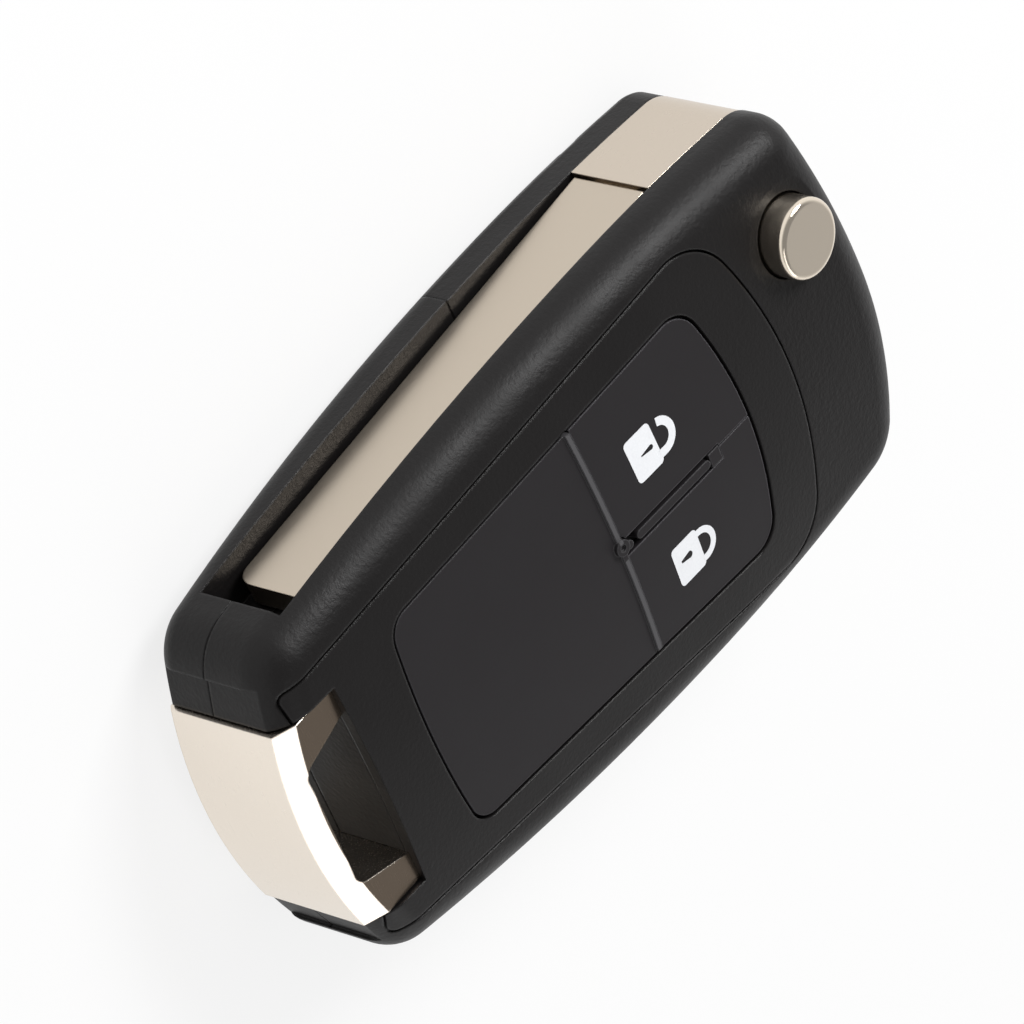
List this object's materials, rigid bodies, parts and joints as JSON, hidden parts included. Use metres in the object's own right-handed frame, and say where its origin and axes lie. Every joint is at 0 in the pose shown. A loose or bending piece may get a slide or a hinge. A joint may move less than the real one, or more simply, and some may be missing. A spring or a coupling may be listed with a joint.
{
  "type": "folding key fob shell",
  "caption": "Folding remote key case: moulded shells with a rubber button pad, ring-end bail, release button and an uncut blade that swings out of a side slot.",
  "frame": {"origin": "under the middle of the closed case, on the flat back that it lies on", "axes": "+Z out of the button face, +Y toward the flip head, +X to the right seen from the button side"},
  "size_m": [0.0394, 0.0738, 0.0205],
  "materials": {
    "case_abs": "black ABS with a fine moulded grain",
    "panel_abs": "black ABS, fine moulded grain",
    "pad_rubber": "smooth matte silicone rubber",
    "key_rubber": "smooth matte silicone rubber with white printed symbols",
    "inner_abs": "plain black ABS",
    "bail_chrome": "pearl chrome plate, satin face with bright edges",
    "head_nickel": "satin nickel plate",
    "blade_steel": "ground nickel silver blank",
    "button_chrome": "satin plate with polished rim",
    "spring_steel": "drawn spring wire",
    "pin_steel": "plain steel",
    "bush_brass": "turned brass"
  },
  "bodies": {
    "case": {"front_shell": "case_abs", "front_panel": "panel_abs", "button_pad": "pad_rubber", "pad_frame": "inner_abs", "rear_shell": "case_abs", "keyring_bail": "bail_chrome", "bail_pins": "pin_steel", "pivot_bush": "bush_brass", "board_tray": "inner_abs", "case_screw": "pin_steel"},
    "flip_arm": {"flip_head": "head_nickel", "key_blade": "blade_steel", "blade_pin": "pin_steel", "flip_spring": "spring_steel"},
    "release": {"release_button": "button_chrome"},
    "unlock_key": {"unlock_button": "key_rubber"},
    "lock_key": {"lock_button": "key_rubber"},
    "cover": {"battery_cover": "case_abs"}
  },
  "joints": [
    {"name": "blade_flip", "type": "hinge", "parent": "case", "child": "flip_arm", "pos_m": [-0.0096, 0.02923, 0.00835], "axis": [0, 0, -1], "range_deg": [0, 183.7]},
    {"name": "release_push", "type": "slide", "parent": "flip_arm", "child": "release", "axis": [0, 0, -1], "range_m": [0, 0.0015], "stiffness_N_per_m": 800, "springref_m": -0.002, "deforming": ["flip_spring"]},
    {"name": "unlock_press", "type": "slide", "parent": "case", "child": "unlock_key", "axis": [0, 0, -1], "range_m": [0, 0.0003], "stiffness_N_per_m": 2500, "springref_m": -0.0004},
    {"name": "lock_press", "type": "slide", "parent": "case", "child": "lock_key", "axis": [0, 0, -1], "range_m": [0, 0.0003], "stiffness_N_per_m": 2500, "springref_m": -0.0004},
    {"name": "cover_pull", "type": "slide", "parent": "case", "child": "cover", "axis": [0, 0, -1], "range_m": [0, 0.012]}
  ]
}
